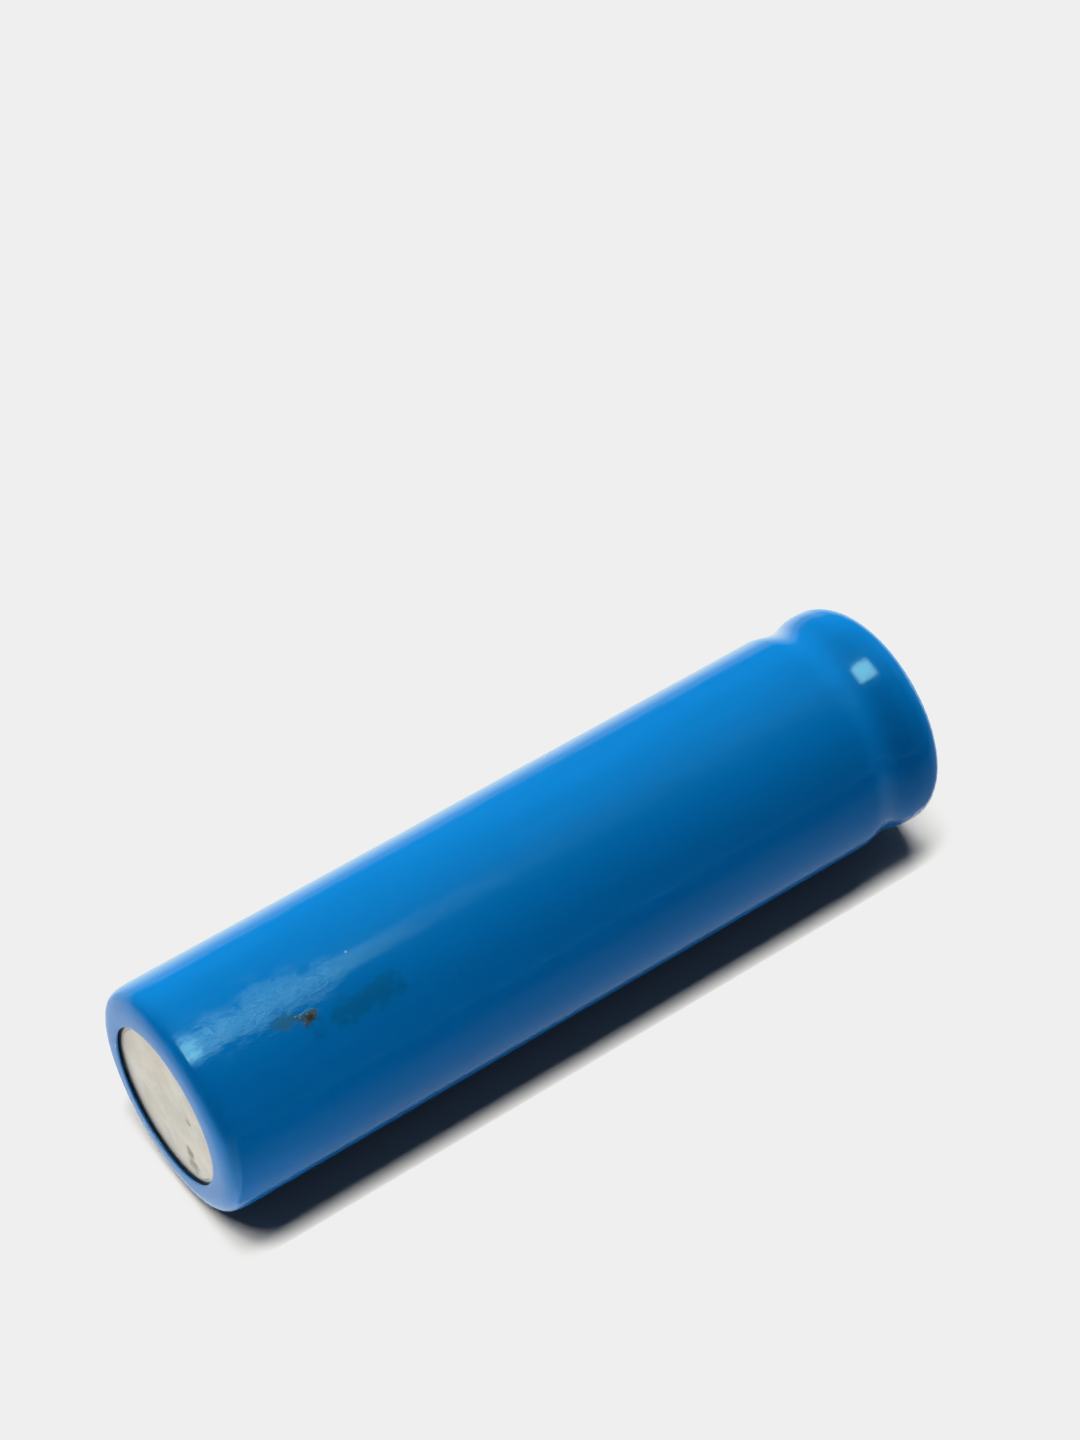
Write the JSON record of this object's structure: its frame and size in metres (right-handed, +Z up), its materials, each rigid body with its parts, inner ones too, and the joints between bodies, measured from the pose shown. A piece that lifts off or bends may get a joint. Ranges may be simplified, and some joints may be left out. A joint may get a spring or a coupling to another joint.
{
  "type": "cylindrical battery cell",
  "caption": "Cylindrical rechargeable lithium-ion cell in a blue heat-shrunk sleeve, with a rolled groove behind its positive end.",
  "frame": {"origin": "on the surface the cell lies on, under the middle of its length", "axes": "+X along the cell's axis towards the positive end, +Z up, the cell lying on its side"},
  "size_m": [0.0652, 0.0184, 0.0183],
  "materials": {
    "blue_sleeve": "glossy, faint film waves and handling marks",
    "nickel_plated_steel": "satin nickel plate, faintly stained",
    "white_fibre": "pressed fibre",
    "black_polymer": "matt, filled polymer",
    "bare_aluminium": "rolled",
    "clear_polymer": "moulded, milky",
    "cathode_coating": "dark coat on foil, calendered",
    "anode_coating": "graphite coat on foil, calendered",
    "separator_film": "thin white film",
    "green_tape": "polyester tape",
    "amber_tape": "polyimide tape"
  },
  "bodies": {
    "root": {"shrink_sleeve": "blue_sleeve", "cell_can": "nickel_plated_steel", "top_washer": "white_fibre", "positive_cap": "nickel_plated_steel", "ptc_ring": "black_polymer", "vent_disc": "bare_aluminium", "cid_insulator": "clear_polymer", "cid_base_plate": "bare_aluminium", "seal_gasket": "clear_polymer", "cathode_sheet": "cathode_coating", "anode_sheet": "anode_coating", "separator_inner": "separator_film", "separator_outer": "separator_film", "winding_tape": "green_tape", "centre_pin": "nickel_plated_steel", "positive_tab": "bare_aluminium", "tab_tape": "amber_tape", "negative_tab": "nickel_plated_steel", "top_insulator": "white_fibre", "bottom_insulator": "white_fibre"}
  },
  "joints": []
}
